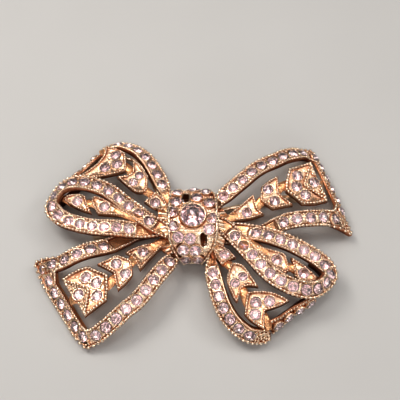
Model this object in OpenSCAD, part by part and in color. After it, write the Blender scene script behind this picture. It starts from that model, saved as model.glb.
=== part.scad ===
// Bow brooch: two pierced loops and two pierced tails held by a domed knot, set with stones.
// The bow lies on its back: +X runs along the bow, +Y towards its upper side, +Z out of its face.

/* [Loops] */
// Distance from the knot's axis to the far turn of a loop
loop_reach = 28; // [26:0.5:31]
// Distance that a loop's outer border stands off sideways
loop_rise = 21; // [19:0.5:24]
// Height of a loop's highest band over the table
loop_height = 6.4; // [5.8:0.1:7.4]
// Angle by which each loop hangs below the bow's long axis
loop_droop = 7; // [3:0.5:9]

/* [Tails] */
// Distance from the knot's axis to the upper corner of a tail
tail_reach = 32; // [29:0.5:36]
// Distance from the knot's axis to the lower corner of a tail
tail_drop = 21.5; // [19:0.5:25]
// Height of a tail's highest band over the table
tail_height = 6; // [5.6:0.1:7]
// Angle by which each tail hangs below the bow's long axis
tail_droop = 7; // [3:0.5:9]
// Lean of the left tail's end band, where the ribbon curls down
left_end_lean = 45; // [35:1:70]
// Lean of the right tail's end band
right_end_lean = 62; // [35:1:70]

/* [Ribbon] */
// Width of a set band with its two rails
band_w = 3.3; // [3.1:0.1:3.8]
// Depth of a set band
band_t = 1.2; // [1.2:0.1:1.6]
// Width of each rail
rail_w = 0.45; // [0.35:0.05:0.5]
// Thickness of the leaves and buds between the bands
leaf_t = 1.2; // [1:0.1:1.5]
// Thickness of the stems and wires
stem_d = 1.1; // [0.9:0.1:1.3]
// Thickness of the plain wall that closes the far end of a loop
fold_t = 0.9; // [0.7:0.1:1.2]

/* [Knot] */
// Width of the knot over the bow
knot_w = 9.8; // [9.4:0.1:11]
// Length of the knot from end to end
knot_l = 15; // [14.4:0.1:17]
// Height of the knot's strap over the table
knot_h = 8.4; // [8:0.1:9.5]
// Thickness of the knot's strap
knot_t = 1.1; // [0.9:0.1:1.3]

/* [Stones] */
// Diameter of the small stones
stone_d = 2.1; // [1.9:0.05:2.2]
// Distance between neighbouring stones along a band
stone_pitch = 2.58; // [2.4:0.02:2.8]
// Diameter of the centre stone
centre_d = 4.6; // [4:0.1:4.8]

/* [Pin] */
// Diameter of the pin's stem
pin_d = 1.1; // [0.9:0.1:1.2]
// Length of the pin between its two posts
pin_l = 41; // [36:0.5:42]
// Angle between the pin and the bow's long axis
pin_turn = 12.4; // [11:0.2:14]

/* [Hidden] */

// Clearance round a stone in its seat, and between two castings
seat_gap = 0.05;
piece_gap = 0.15;
// A stone's heights over and under its girdle
crown_h = 0.17 * stone_d;
pavilion_h = 0.29 * stone_d;
centre_crown_h = 0.17 * centre_d;
centre_pavilion_h = 0.3 * centre_d;
// Depth of the channel in a band, and of a seat in a leaf
channel_h = pavilion_h + 0.15;
// Raised rim round a leaf
rim_w = 0.35;
rim_h = 0.25;
// Rings made between two rows of a table
ring_steps = 2;
// Half of a band that stands on its edge, and how high its middle lies over the table
left_end_h = 0.5 * band_w * sin(left_end_lean) + band_t * cos(left_end_lean);
right_end_h = 0.5 * band_w * sin(right_end_lean) + band_t * cos(right_end_lean);

// Loop tables: distances out are shares of loop_reach, side ones of loop_rise, heights of
// loop_height, lean is in degrees and width a share of band_w.
// Outer border, from the knot round to the far corner
//  out, side, high, lean, width
OUTER_ROWS = [
    [0.135, 0.23, 0.66, 0, 0.35],
    [0.158, 0.31, 0.71, 5, 0.42],
    [0.18, 0.456, 0.76, 10, 0.9],
    [0.221, 0.62, 0.77, 17, 0.96],
    [0.275, 0.78, 0.735, 27, 1],
    [0.355, 0.912, 0.66, 36, 1],
    [0.465, 0.995, 0.54, 46, 1],
    [0.56, 0.99, 0.44, 52, 1],
    [0.622, 0.955, 0.37, 50, 1]];
// Steep band across the far end of a loop, from the outer border to the turn of the inner band
TURN_ROWS = [
    [0.62, 0.895, 0.43, 72, 1.4],
    [0.68, 0.83, 0.44, 76, 1.25],
    [0.75, 0.735, 0.47, 80, 1.05],
    [0.83, 0.655, 0.50, 84, 1],
    [0.90, 0.575, 0.53, 84, 1]];
// Inner band, from the knot out round the turn and back as the edge of the returning ribbon
INNER_ROWS = [
    [0.13, -0.086, 0.72, 0, 0.6],
    [0.204, -0.03, 0.80, 2, 0.9],
    [0.305, 0.08, 0.82, 4, 1],
    [0.435, 0.252, 0.86, 6, 1],
    [0.575, 0.433, 0.95, 8, 1],
    [0.72, 0.53, 1.0, 10, 1],
    [0.825, 0.552, 0.985, 20, 1],
    [0.907, 0.52, 0.92, 36, 1],
    [0.966, 0.438, 0.86, 46, 1],
    [0.988, 0.347, 0.79, 28, 1],
    [0.949, 0.26, 0.75, 8, 1],
    [0.866, 0.18, 0.745, 0, 1],
    [0.704, 0.09, 0.80, 0, 1],
    [0.53, 0.038, 0.87, 5, 1],
    [0.357, 0.0, 0.72, 0, 0.95],
    [0.19, -0.03, 0.69, 0, 0.4]];
// Far edge of the returning ribbon, a plain wire under the outer border
WIRE_ROWS = [
    [0.118, 0.195, 0.55],
    [0.175, 0.30, 0.47],
    [0.225, 0.44, 0.43],
    [0.266, 0.595, 0.40],
    [0.336, 0.78, 0.36],
    [0.43, 0.867, 0.30],
    [0.554, 0.915, 0.26]];
// Plain wall round the far end of a loop, from the table up to the bands
FOLD_ROWS = [
    [0.593, 0.871, 0.50],
    [0.65, 0.783, 0.52],
    [0.748, 0.664, 0.55],
    [0.861, 0.521, 0.60],
    [0.94, 0.44, 0.66],
    [0.96, 0.34, 0.62],
    [0.915, 0.252, 0.56],
    [0.85, 0.19, 0.57]];
// Stems of a loop's leaves
LOOP_STEM = [
    [0.14, 0.12, 0.66],
    [0.25, 0.33, 0.69],
    [0.34, 0.44, 0.78],
    [0.40, 0.61, 0.79],
    [0.45, 0.73, 0.74],
    [0.55, 0.80, 0.68],
    [0.60, 0.93, 0.52]];
EYE_STEM = [
    [0.352, 0.097, 0.70],
    [0.48, 0.18, 0.74],
    [0.66, 0.31, 0.72],
    [0.80, 0.36, 0.70],
    [0.90, 0.42, 0.66]];

// Tail tables: distances out are shares of tail_reach, side ones of tail_drop, heights of tail_height
// Upper band, from the knot under the loop to the upper corner
//  out, side, high, lean, width
UPPER_ROWS = [
    [0.09, -0.02, 0.44, 0, 0.6],
    [0.21, -0.04, 0.46, 0, 0.9],
    [0.36, -0.02, 0.48, 0, 1],
    [0.44, 0.035, 0.53, 3, 1],
    [0.515, 0.095, 0.70, 8, 1],
    [0.575, 0.130, 0.87, 10, 1],
    [0.65, 0.155, 0.98, 10, 1],
    [0.735, 0.184, 0.95, 12, 1],
    [0.80, 0.212, 0.84, 16, 1],
    [0.85, 0.226, 0.74, 20, 1]];
// End band between the two corners, whose height follows from its lean
END_ROWS = [
    [0.905, 0.42],
    [0.85, 0.585],
    [0.795, 0.75],
    [0.76, 0.855]];
// Corners of the end band: the outer and the inner point of each cut across it, each [out, side, high]
UPPER_CORNER = [
    [[0.925, 0.147, 0.60], [0.86, 0.308, 0.79]],
    [[1.005, 0.14, 0.26], [0.867, 0.316, 0.78]]];
LOWER_CORNER = [
    [[0.72, 1.015, 0.225], [0.71, 0.865, 0.48]]];
// Lower band, from the lower corner back to the knot
LOWER_ROWS = [
    [0.645, 0.925, 0.54, 22, 1],
    [0.595, 0.888, 0.70, 15, 1],
    [0.528, 0.828, 0.82, 12, 1],
    [0.466, 0.758, 0.88, 10, 1],
    [0.394, 0.688, 0.90, 8, 1],
    [0.334, 0.605, 0.92, 8, 1],
    [0.28, 0.512, 0.90, 8, 1],
    [0.222, 0.42, 0.85, 8, 1],
    [0.172, 0.34, 0.75, 6, 0.95],
    [0.133, 0.262, 0.61, 3, 0.55],
    [0.10, 0.20, 0.50, 0, 0.5]];
TAIL_STEM = [
    [0.12, 0.07, 0.45],
    [0.22, 0.13, 0.50],
    [0.36, 0.24, 0.60],
    [0.42, 0.335, 0.74],
    [0.50, 0.44, 0.80],
    [0.57, 0.52, 0.80],
    [0.68, 0.56, 0.76],
    [0.76, 0.58, 0.60],
    [0.80, 0.585, 0.45]];

// Leaves and buds: outline and stone places as [out, side] shares, then the height share at the
// first stone, the slope of the plate outwards and sideways, and the stones' share of stone_d.
LOOP_LEAVES = [
    [[[0.15, 0.17], [0.22, 0.18], [0.275, 0.225], [0.325, 0.29], [0.29, 0.32], [0.262, 0.345],
        [0.24, 0.385], [0.205, 0.335], [0.18, 0.30]],
        [[0.247, 0.269]], 0.78, 0.02, 0.02, 1],
    [[[0.30, 0.37], [0.36, 0.365], [0.40, 0.40], [0.45, 0.485], [0.50, 0.567], [0.425, 0.563],
        [0.385, 0.60], [0.378, 0.66], [0.37, 0.73], [0.345, 0.71], [0.294, 0.585], [0.276, 0.51]],
        [[0.384, 0.496], [0.342, 0.551]], 0.93, 0, -0.05, 0.72],
    [[[0.43, 0.63], [0.50, 0.605], [0.59, 0.60], [0.65, 0.622], [0.715, 0.66], [0.665, 0.71],
        [0.60, 0.755], [0.56, 0.775], [0.56, 0.86], [0.565, 0.94], [0.52, 0.92], [0.465, 0.88],
        [0.425, 0.83], [0.425, 0.73]],
        [[0.496, 0.822], [0.492, 0.713], [0.582, 0.687]], 0.85, -0.02, -0.1, 1]];
EYE_LEAVES = [
    [[[0.45, 0.155], [0.51, 0.165], [0.59, 0.185], [0.66, 0.205], [0.685, 0.28], [0.70, 0.36],
        [0.675, 0.40], [0.61, 0.36], [0.53, 0.27]],
        [[0.61, 0.272]], 0.84, 0, 0, 1],
    [[[0.705, 0.23], [0.77, 0.265], [0.84, 0.33], [0.895, 0.40], [0.87, 0.445], [0.78, 0.45],
        [0.74, 0.41], [0.73, 0.31]],
        [[0.80, 0.372]], 0.80, 0, 0, 1]];
TAIL_LEAVES = [
    [[[0.19, 0.14], [0.21, 0.115], [0.33, 0.125], [0.432, 0.195], [0.395, 0.237], [0.375, 0.29],
        [0.354, 0.385], [0.275, 0.255]],
        [[0.325, 0.20]], 0.66, 0.12, -0.12, 1],
    [[[0.40, 0.30], [0.48, 0.235], [0.605, 0.30], [0.545, 0.36], [0.51, 0.405], [0.505, 0.47],
        [0.495, 0.575], [0.43, 0.50], [0.395, 0.43]],
        [[0.49, 0.317], [0.441, 0.425]], 0.93, -0.03, -0.03, 1],
    [[[0.55, 0.42], [0.615, 0.365], [0.66, 0.315], [0.74, 0.335], [0.82, 0.395], [0.78, 0.53],
        [0.73, 0.65], [0.70, 0.77], [0.64, 0.72], [0.565, 0.655], [0.55, 0.54]],
        [[0.619, 0.482], [0.678, 0.414], [0.619, 0.602], [0.73, 0.562]], 0.97, -0.16, 0.01, 1]];

// Plates that tie the inner ends of the bands together inside the knot, as [out, side] shares
LOOP_ROOT = [[0.04, -0.11], [0.04, 0.20], [0.135, 0.25], [0.17, 0.32], [0.20, 0.32], [0.235, 0.20],
    [0.24, 0.02], [0.20, -0.09]];
TAIL_ROOT = [[0.035, -0.07], [0.20, -0.08], [0.22, 0.16], [0.15, 0.26], [0.11, 0.26],
    [0.035, 0.20]];
root_t = 0.9;
LOOP_ROOT_HIGH = 0.74;
TAIL_ROOT_HIGH = 0.49;

// Knot tables: along is a share of half of knot_l, high of knot_h, half width of half of knot_w
KNOT_ROWS = [
    [0.80, 0.14, 0.34],
    [0.95, 0.24, 0.38],
    [1.0, 0.44, 0.43],
    [0.93, 0.66, 0.66],
    [0.71, 0.86, 0.92],
    [0.40, 0.965, 1.0],
    [0, 1.0, 1.0]];
// Places of the knot's stones: across is a share of half of knot_w, along of half of knot_l
KNOT_STONES = [
    [-0.80, 0.13],
    [0.78, -0.06],
    [-0.66, 0.43],
    [0.66, 0.39],
    [0.16, 0.57],
    [-0.62, 0.75],
    [0.52, 0.80],
    [0.04, 0.90],
    [-0.78, -0.27],
    [0.64, -0.36],
    [-0.57, -0.55],
    [-0.10, -0.59],
    [-0.37, -0.83],
    [0.10, -0.84],
    [-0.27, -0.985],
    [0.19, -0.985]];
// Pierced slots of the knot: the two ends of each, then its width share
KNOT_SLOTS = [
    [[0.42, -0.52], [0.44, -0.70], 0.16],
    [[-0.30, 0.50], [-0.28, 0.66], 0.16]];

// The origin lies on the table under the middle of the bow's outline
bow_top = 0.995 * loop_rise * cos(loop_droop) - 0.465 * loop_reach * sin(loop_droop)
    + 0.35 * band_w;
bow_bottom = -1.015 * tail_drop * cos(tail_droop) - 0.72 * tail_reach * sin(tail_droop);
bow_mid = [0.14 * tail_drop * sin(tail_droop), (bow_top + bow_bottom) / 2];

function unit(v) = v / norm(v);
function mix(a, b, t) = a + (b - a) * t;

// Point t of the way from row i to the next on a smooth curve through the rows
function curve_at(rows, i, t) = let(
    n = len(rows),
    p0 = rows[max(i - 1, 0)],
    p1 = rows[i],
    p2 = rows[min(i + 1, n - 1)],
    p3 = rows[min(i + 2, n - 1)])
    0.5 * (2 * p1 + (p2 - p0) * t + (2 * p0 - 5 * p1 + 4 * p2 - p3) * t * t
        + (3 * p1 - p0 - 3 * p2 + p3) * t * t * t);
function smooth(rows, steps) = [
    for (i = [0 : len(rows) - 2], k = [0 : steps - 1]) curve_at(rows, i, k / steps),
    rows[len(rows) - 1]];

// The half bow is drawn to the left of the knot, so distances out run along -X
function loop_point(row) = [-row[0] * loop_reach, row[1] * loop_rise, row[2] * loop_height];
function tail_point(row) = [-row[0] * tail_reach, -row[1] * tail_drop, row[2] * tail_height];

// Frames [place, side, normal, width] along a band: side points to the band's outer edge
function frames(points, leans, widths) = [
    for (i = [0 : len(points) - 1])
        let(
            ahead = points[min(i + 1, len(points) - 1)] - points[max(i - 1, 0)],
            level = unit(cross(ahead, [0, 0, 1])),
            up = unit(cross(level, ahead)),
            lean = leans[i])
        [points[i], level * cos(lean) - up * sin(lean), up * cos(lean) + level * sin(lean),
            widths[i]]];
function band_frames(places, rows, steps) = let(
    table = [for (i = [0 : len(rows) - 1]) concat(places[i], [rows[i][3], rows[i][4]])],
    fine = smooth(table, steps))
    frames([for (f = fine) [f[0], f[1], f[2]]], [for (f = fine) f[3]], [for (f = fine) f[4]]);
function loop_band(rows, steps = ring_steps) = band_frames([for (r = rows) loop_point(r)], rows, steps);
function tail_band(rows) = band_frames([for (r = rows) tail_point(r)], rows, ring_steps);
function end_band(lean, high) = let(
    fine = [for (r = END_ROWS) [-r[0] * tail_reach, -r[1] * tail_drop, high]])
    frames(fine, [for (p = fine) lean], [for (p = fine) 1]);
// Frame of a cut across a corner
function mitre(cut, before, after) = let(
    tip = tail_point(cut[0]),
    inner = tail_point(cut[1]),
    side = unit(tip - inner),
    up = before[2] + after[2])
    [(tip + inner) / 2, side, unit(up - side * (up * side)), norm(tip - inner) / band_w];
function tail_bands(lean, high) = let(
    upper = tail_band(UPPER_ROWS),
    end = end_band(lean, high),
    lower = tail_band(LOWER_ROWS),
    near = [for (cut = UPPER_CORNER) mitre(cut, upper[len(upper) - 1], end[0])],
    far = [for (cut = LOWER_CORNER) mitre(cut, end[len(end) - 1], lower[0])])
    [concat(upper, near), concat([near[len(near) - 1]], end, [far[0]]), concat(far, lower)];

// Places at equal steps along a chain of frames
function steps_along(chain) = [
    for (i = 0, s = 0; i < len(chain);
        s = s + (i + 1 < len(chain) ? norm(chain[i + 1][0] - chain[i][0]) : 0), i = i + 1) s];
function frame_at(chain, run, s, i = 0) =
    (i < len(chain) - 2 && run[i + 1] < s) ? frame_at(chain, run, s, i + 1)
    : let(t = (s - run[i]) / (run[i + 1] - run[i]))
        [mix(chain[i][0], chain[i + 1][0], t), unit(mix(chain[i][1], chain[i + 1][1], t)),
            unit(mix(chain[i][2], chain[i + 1][2], t)), 1];
// Stones from one share of a chain's length to another
function stone_frames(chain, from, to) = let(
    run = steps_along(chain),
    start = from * run[len(run) - 1],
    end = to * run[len(run) - 1],
    gaps = round((end - start) / stone_pitch))
    [for (k = [0 : gaps]) frame_at(chain, run, start + (end - start) * k / gaps)];

// Cross-sections as [side, up] points, drawn counter-clockwise
function channel_section() = [
    [-band_w / 2, -band_t],
    [band_w / 2, -band_t],
    [band_w / 2, 0],
    [band_w / 2 - rail_w, 0],
    [band_w / 2 - rail_w, -channel_h],
    [-band_w / 2 + rail_w, -channel_h],
    [-band_w / 2 + rail_w, 0],
    [-band_w / 2, 0]];
function strap_section() = [
    [-1, -knot_t],
    [1, -knot_t],
    [1, 0.3],
    [0.88, 0.3],
    [0.86, -0.15],
    [0.45, 0.1],
    [-0.45, 0.1],
    [-0.86, -0.15],
    [-0.88, 0.3],
    [-1, 0.3]];

// Solid swept along a chain of frames
module sweep(chain, section) {
    n = len(section);
    m = len(chain);
    points = [for (f = chain, q = section) f[0] + f[1] * q[0] * f[3] + f[2] * q[1]];
    sides = [for (i = [0 : m - 2], j = [0 : n - 1])
        let(a = i * n + j, b = i * n + (j + 1) % n) [a, b, b + n, a + n]];
    near_cap = [[for (j = [n - 1 : -1 : 0]) j]];
    far_cap = [[for (j = [0 : n - 1]) (m - 1) * n + j]];
    polyhedron(points, concat(sides, near_cap, far_cap), convexity = 8);
}

module band(chain) {
    sweep(chain, channel_section());
}

// Wire through a list of points
module wire(points, d) {
    for (i = [0 : len(points) - 2])
        hull() {
            translate(points[i]) cylinder(h = 0.8 * d, d = d, center = true, $fn = 6);
            translate(points[i + 1]) cylinder(h = 0.8 * d, d = d, center = true, $fn = 6);
        }
}

// Upright wall through a list of points, which give its top edge
module wall(points) {
    for (i = [0 : len(points) - 2])
        hull() for (p = [points[i], points[i + 1]])
            translate([p[0], p[1], 0]) cylinder(h = p[2], d = fold_t, $fn = 6);
}

// Height of a leaf's plate at a place in the half bow
function leaf_top(leaf, place, first, high) =
    leaf[2] * high - leaf[3] * (place[0] - first[0]) + leaf[4] * (place[1] - first[1]);
function leaf_normal(leaf) = unit([leaf[3], -leaf[4], 1]);

// Leaf or bud with a raised rim
module leaf(leaf, outline, first, high) {
    lift = leaf[2] * high + leaf[3] * first[0] - leaf[4] * first[1];
    multmatrix([[1, 0, 0, 0], [0, 1, 0, 0], [-leaf[3], leaf[4], 1, lift], [0, 0, 0, 1]])
        difference() {
            translate([0, 0, -leaf_t]) linear_extrude(leaf_t + rim_h) polygon(outline);
            linear_extrude(1) offset(delta = -rim_w) polygon(outline);
        }
}
function loop_plan(p) = [-p[0] * loop_reach, p[1] * loop_rise];
function tail_plan(p) = [-p[0] * tail_reach, -p[1] * tail_drop];
module loop_leaf(row) {
    leaf(row, [for (p = row[0]) loop_plan(p)], loop_plan(row[1][0]), loop_height);
}
module tail_leaf(row) {
    leaf(row, [for (p = row[0]) tail_plan(p)], tail_plan(row[1][0]), tail_height);
}
// Seats sunk into the metal for the stones of the leaves
module seats(list) {
    for (f = list)
        at_frame(f) translate([0, 0, -channel_h]) rotate(22.5)
            cylinder(h = channel_h + 0.6, d = stone_d * f[3] + 3 * seat_gap, $fn = 8);
}

module loop_casting() {
    difference() {
        union() {
            band(loop_band(OUTER_ROWS));
            band(loop_band(TURN_ROWS, 1));
            band(loop_band(INNER_ROWS));
            wall([for (r = FOLD_ROWS) loop_point(r)]);
            wire(smooth([for (r = WIRE_ROWS) loop_point(r)], 1), 0.8 * stem_d);
            wire([for (r = LOOP_STEM) loop_point(r)], stem_d);
            wire([for (r = EYE_STEM) loop_point(r)], stem_d);
            for (row = LOOP_LEAVES) loop_leaf(row);
            for (row = EYE_LEAVES) loop_leaf(row);
            translate([0, 0, LOOP_ROOT_HIGH * loop_height - root_t])
                linear_extrude(root_t) polygon([for (p = LOOP_ROOT) loop_plan(p)]);
        }
        seats(loop_leaf_stones());
    }
}

module tail_casting(lean, high) {
    difference() {
        union() {
            for (chain = tail_bands(lean, high)) band(chain);
            wire([for (r = TAIL_STEM) tail_point(r)], stem_d);
            for (row = TAIL_LEAVES) tail_leaf(row);
            translate([0, 0, TAIL_ROOT_HIGH * tail_height - root_t])
                linear_extrude(root_t) polygon([for (p = TAIL_ROOT) tail_plan(p)]);
        }
        seats(tail_leaf_stones());
    }
}

// Brilliant-cut stones: each is a table, a crown, a girdle and a pavilion
function stone_points(f, d, crown, pavilion, sides, sink) = let(
    along = cross(f[2], f[1]),
    ring = function (r, h) [for (k = [0 : sides - 1]) let(w = 360 * (k + 0.5) / sides)
        f[0] + (f[1] * r * cos(w) + along * r * sin(w) + f[2] * h) * f[3] - f[2] * sink])
    concat(ring(0.29 * d, crown), ring(0.5 * d, 0), [f[0] - f[2] * (pavilion * f[3] + sink)]);
function stone_faces(first, sides) = concat(
    [for (k = [1 : sides - 2]) [first, first + k + 1, first + k]],
    [for (k = [0 : sides - 1]) let(a = first + k, b = first + (k + 1) % sides)
        [a, b, b + sides]],
    [for (k = [0 : sides - 1]) let(a = first + k, b = first + (k + 1) % sides)
        [a, b + sides, a + sides]],
    [for (k = [0 : sides - 1]) let(a = first + sides + k, b = first + sides + (k + 1) % sides)
        [a, b, first + 2 * sides]]);
module stones(list, d, crown, pavilion, sides, sink) {
    n = 2 * sides + 1;
    polyhedron(
        [for (f = list) each stone_points(f, d, crown, pavilion, sides, sink)],
        [for (i = [0 : len(list) - 1]) each stone_faces(i * n, sides)]);
}
module small_stones(list, sink) {
    stones(list, stone_d, crown_h, pavilion_h, 8, sink);
}

function leaf_stones(row, spots, high) = let(
    up = leaf_normal(row),
    side = unit(cross([0, 1, 0], up)))
    [for (p = spots)
        [[p[0], p[1], leaf_top(row, p, spots[0], high)], side, up, row[5]]];
function loop_leaf_stones() = [for (row = concat(LOOP_LEAVES, EYE_LEAVES))
    each leaf_stones(row, [for (p = row[1]) loop_plan(p)], loop_height)];
function tail_leaf_stones() = [for (row = TAIL_LEAVES)
    each leaf_stones(row, [for (p = row[1]) tail_plan(p)], tail_height)];
function loop_stone_list() = concat(
    stone_frames(loop_band(OUTER_ROWS), 0.21, 0.82),
    stone_frames(loop_band(TURN_ROWS, 1), 0.13, 0.87),
    stone_frames(loop_band(INNER_ROWS), 0.109, 0.433),
    stone_frames(loop_band(INNER_ROWS), 0.475, 0.558),
    stone_frames(loop_band(INNER_ROWS), 0.6, 0.867),
    loop_leaf_stones());
function tail_stone_list(lean, high) = let(chains = tail_bands(lean, high)) concat(
    stone_frames(chains[0], 0.55, 0.93),
    stone_frames(chains[1], 0.165, 0.95),
    stone_frames(chains[2], 0.086, 0.855),
    tail_leaf_stones());

// The knot's strap runs over the bow from its upper to its lower side
function knot_half(sign) = [for (r = KNOT_ROWS) [sign * r[0] * knot_l / 2, r[1] * knot_h, r[2]]];
function knot_rows() = concat(knot_half(1),
    [for (i = [len(KNOT_ROWS) - 2 : -1 : 0]) knot_half(-1)[i]]);
function knot_chain(steps) = let(fine = smooth(knot_rows(), steps))
    [for (i = [0 : len(fine) - 1])
        let(
            ahead = fine[min(i + 1, len(fine) - 1)] - fine[max(i - 1, 0)],
            up = unit([0, ahead[1], -ahead[0]]))
        [[0, fine[i][0], fine[i][1]], [-1, 0, 0], up, fine[i][2] * knot_w / 2]];
// Frame on the strap's face at a share across and along it
function knot_spot(across, along, chain, i = 0) =
    (i < len(chain) - 2 && chain[i + 1][0][1] > along * knot_l / 2)
    ? knot_spot(across, along, chain, i + 1)
    : let(
        y = along * knot_l / 2,
        t = (y - chain[i][0][1]) / (chain[i + 1][0][1] - chain[i][0][1]),
        p = mix(chain[i][0], chain[i + 1][0], t))
        [[across * knot_w / 2, p[1], p[2]], [-1, 0, 0], unit(mix(chain[i][2], chain[i + 1][2], t)), 1];
function upper_chain() = [for (f = knot_chain(3)) if (f[0][2] > 0.44 * knot_h) f];
function knot_stone_list() = let(chain = upper_chain())
    [for (r = KNOT_STONES) knot_spot(r[0], r[1], chain)];

module at_frame(f) {
    along = cross(f[2], f[1]);
    multmatrix([
        [f[1][0], along[0], f[2][0], f[0][0]],
        [f[1][1], along[1], f[2][1], f[0][1]],
        [f[1][2], along[2], f[2][2], f[0][2]],
        [0, 0, 0, 1]]) children();
}

cup_d = stone_d + 0.7;
cup_h = 0.35;
bezel_wall = 0.35;
bezel_h = 0.9;

// Puts a piece that is drawn round the knot's axis in its place on the table
module placed(turn = 0) {
    translate([-bow_mid[0], -bow_mid[1], 0]) rotate(turn) children();
}

module loop_left() {
    color("rosybrown") placed(loop_droop) loop_casting();
}
module loop_right() {
    color("rosybrown") placed(180 - loop_droop) loop_casting();
}
module tail_left() {
    color("rosybrown") placed(tail_droop) tail_casting(left_end_lean, left_end_h);
}
module tail_right() {
    color("rosybrown") placed(180 - tail_droop) tail_casting(right_end_lean, right_end_h);
}
module knot() {
    chain = upper_chain();
    color("rosybrown") placed()
        difference() {
            union() {
                sweep(knot_chain(1), strap_section());
                translate([0, 0, knot_h - 0.6])
                    cylinder(h = bezel_h + 0.6, d = centre_d + 2 * (seat_gap + bezel_wall), $fn = 24);
                for (f = knot_stone_list())
                    at_frame(f) hull() {
                        translate([0, 0, -0.8 * knot_t]) cylinder(h = 0.4, d = cup_d + 0.2, $fn = 8);
                        cylinder(h = cup_h, d = cup_d, $fn = 8);
                    }
            }
            translate([0, 0, knot_h + bezel_h - centre_pavilion_h - 0.2])
                cylinder(h = 3, d = centre_d + 2 * seat_gap, $fn = 24);
            for (f = knot_stone_list())
                at_frame(f) translate([0, 0, cup_h - channel_h])
                    rotate(22.5) cylinder(h = 3, d = stone_d + 3 * seat_gap, $fn = 8);
            for (slot = KNOT_SLOTS)
                hull() for (p = [slot[0], slot[1]])
                    at_frame(knot_spot(p[0], p[1], chain))
                        cylinder(h = 4, d = slot[2] * knot_w, center = true, $fn = 10);
        }
}
module knot_stones() {
    color("thistle") placed() small_stones(knot_stone_list(), -cup_h + 0.05);
}
module centre_stone() {
    color("pink") placed()
        stones([[[0, 0, knot_h + bezel_h - 0.1], [1, 0, 0], [0, 0, 1], 1]], centre_d, centre_crown_h,
            centre_pavilion_h, 12, 0);
}
module loop_left_stones() {
    color("thistle") placed(loop_droop) small_stones(loop_stone_list(), 0.05);
}
module loop_right_stones() {
    color("thistle") placed(180 - loop_droop) small_stones(loop_stone_list(), 0.05);
}
module tail_left_stones() {
    color("thistle") placed(tail_droop)
        small_stones(tail_stone_list(left_end_lean, left_end_h), 0.05);
}
module tail_right_stones() {
    color("thistle") placed(180 - tail_droop)
        small_stones(tail_stone_list(right_end_lean, right_end_h), 0.05);
}

// Pin: a stem between two posts that stand under the castings, one plain piece
pin_z = 0.95;
pin_shift = [1, 3.8];
post_d = 2.6;
post_low = pin_z - 0.6 * pin_d;
left_post_top = 0.6 * loop_height - piece_gap;
right_post_top = 0.7 * tail_height - piece_gap;
module pin_back() {
    color("rosybrown") placed()
        translate([pin_shift[0], pin_shift[1], 0]) rotate(pin_turn) {
            translate([-pin_l / 2, 0, pin_z]) rotate([0, 90, 0]) cylinder(h = pin_l, d = pin_d, $fn = 32);
            translate([-pin_l / 2, 0, post_low])
                cylinder(h = left_post_top - post_low, d = post_d, $fn = 32);
            translate([pin_l / 2, 0, post_low])
                cylinder(h = right_post_top - post_low, d = post_d, $fn = 32);
        }
}

loop_left();
loop_right();
tail_left();
tail_right();
knot();
pin_back();
centre_stone();
loop_left_stones();
loop_right_stones();
tail_left_stones();
tail_right_stones();
knot_stones();
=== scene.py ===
from math import atan, cos, pi, radians, sin

import bmesh
import bpy
import numpy as np
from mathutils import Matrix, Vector
from mathutils.geometry import delaunay_2d_cdt


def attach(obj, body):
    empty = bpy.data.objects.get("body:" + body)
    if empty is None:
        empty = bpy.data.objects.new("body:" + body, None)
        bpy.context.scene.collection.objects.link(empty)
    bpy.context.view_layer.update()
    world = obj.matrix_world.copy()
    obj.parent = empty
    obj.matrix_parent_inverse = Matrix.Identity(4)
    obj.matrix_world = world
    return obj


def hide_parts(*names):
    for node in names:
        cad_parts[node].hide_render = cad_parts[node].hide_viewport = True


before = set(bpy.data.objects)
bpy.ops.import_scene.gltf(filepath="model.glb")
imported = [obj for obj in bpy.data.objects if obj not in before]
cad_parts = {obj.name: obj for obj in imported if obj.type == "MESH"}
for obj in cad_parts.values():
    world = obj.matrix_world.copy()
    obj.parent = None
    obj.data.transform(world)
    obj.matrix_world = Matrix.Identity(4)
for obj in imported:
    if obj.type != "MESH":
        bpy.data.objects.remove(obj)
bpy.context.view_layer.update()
scene = bpy.context.scene

# Sizes of the solids, in millimetres and degrees
MM = 0.001
LOOP_REACH, LOOP_RISE, LOOP_HEIGHT, LOOP_DROOP = 28, 21, 6.4, 7
TAIL_REACH, TAIL_DROP, TAIL_HEIGHT, TAIL_DROOP = 32, 21.5, 6, 7
LEFT_LEAN, RIGHT_LEAN = 45, 62
BAND_W, BAND_T, RAIL_W, LEAF_T, STEM_D, FOLD_T = 3.3, 1.2, 0.45, 1.2, 1.1, 0.9
KNOT_W, KNOT_L, KNOT_H, KNOT_T = 9.8, 15, 8.4, 1.1
STONE_PITCH, CENTRE_D, CUP_H, BEZEL_H = 2.58, 4.6, 0.35, 0.9

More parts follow.
